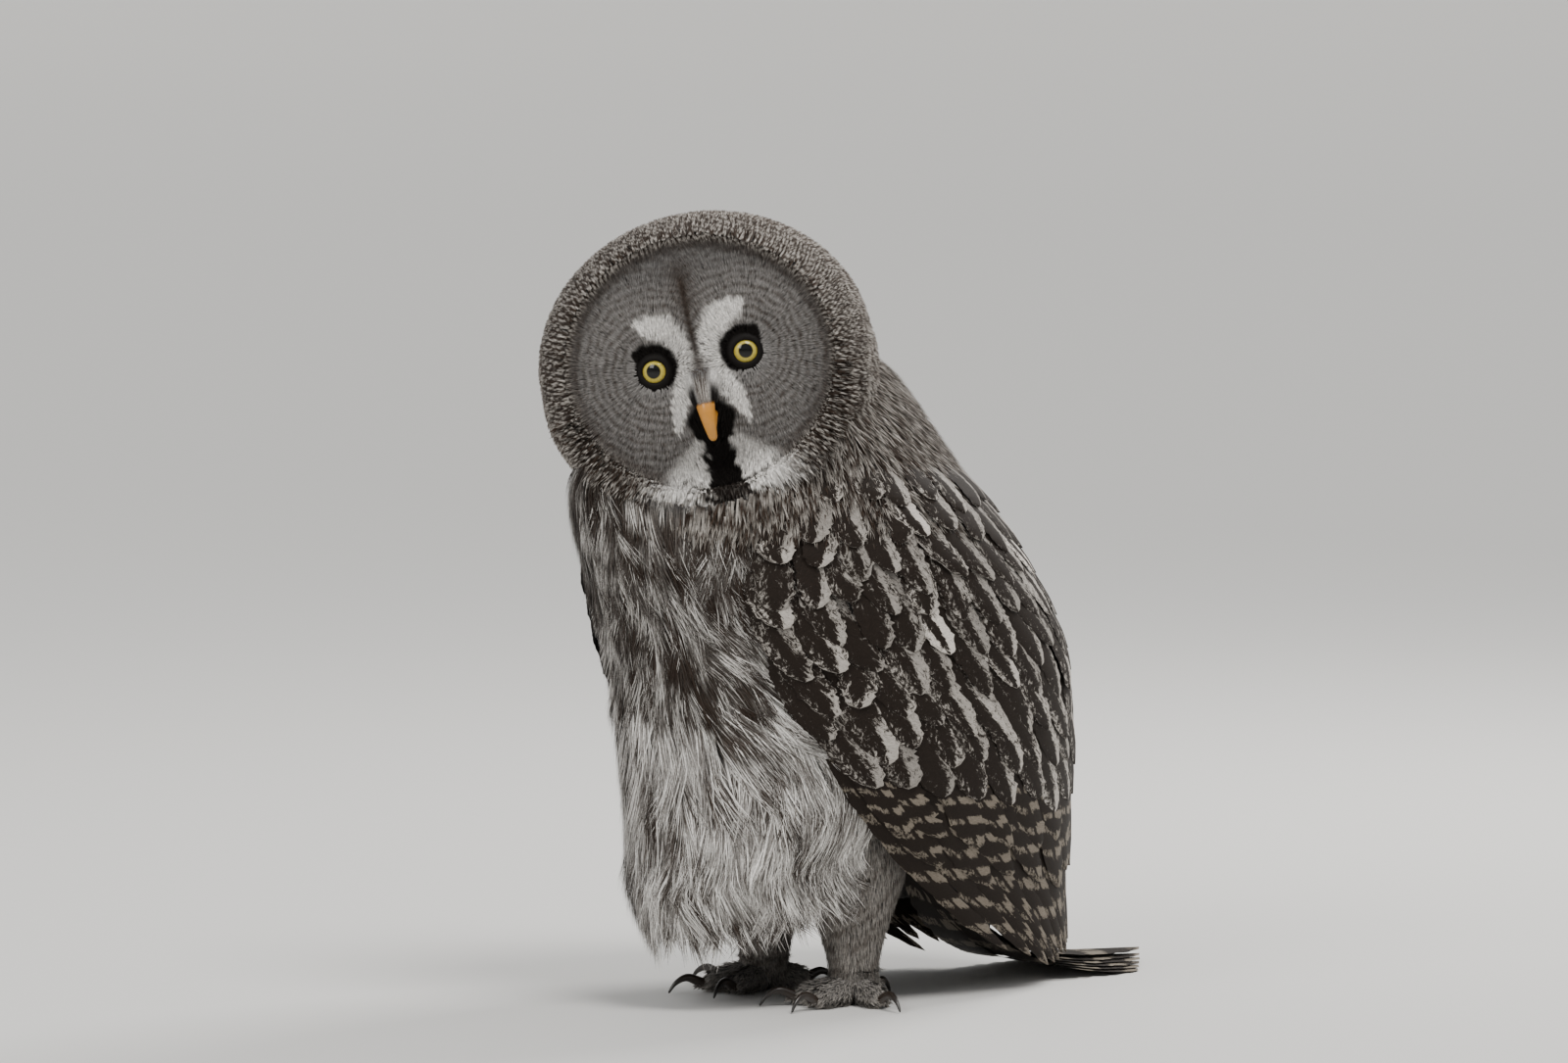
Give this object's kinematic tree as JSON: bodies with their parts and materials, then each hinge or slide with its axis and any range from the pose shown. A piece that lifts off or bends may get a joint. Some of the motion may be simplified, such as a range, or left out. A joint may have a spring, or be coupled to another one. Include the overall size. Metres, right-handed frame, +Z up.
{
  "type": "great grey owl",
  "caption": "Life-size great grey owl standing still on level ground, head turned to its left, wings folded, tail laid on the ground.",
  "frame": {"origin": "centre of the box round the bird, on the level ground it stands on", "axes": "+Z up; the breast faces -Y and the bird's left is +X"},
  "size_m": [0.269, 0.481, 0.519],
  "materials": {
    "face_feathers": "soft matt plumage",
    "breast_feathers": "soft matt plumage, streaked",
    "wing_feathers": "matt plumage, barred and mottled",
    "foot_feathers": "soft matt plumage",
    "iris": "clear and wet",
    "bill_horn": "smooth horn",
    "claw_horn": "smooth horn"
  },
  "bodies": {
    "root": {"head": "face_feathers", "neck": "face_feathers", "torso": "breast_feathers", "wing_left": "wing_feathers", "wing_right": "wing_feathers", "tail": "wing_feathers", "leg_left": "foot_feathers", "leg_right": "foot_feathers", "foot_left": "foot_feathers", "foot_right": "foot_feathers", "eye_left": "iris", "eye_right": "iris", "bill_upper": "bill_horn", "bill_lower": "bill_horn", "claw_left_inner": "claw_horn", "claw_left_middle": "claw_horn", "claw_left_outer": "claw_horn", "claw_left_hind": "claw_horn", "claw_right_inner": "claw_horn", "claw_right_middle": "claw_horn", "claw_right_outer": "claw_horn", "claw_right_hind": "claw_horn"}
  },
  "joints": []
}
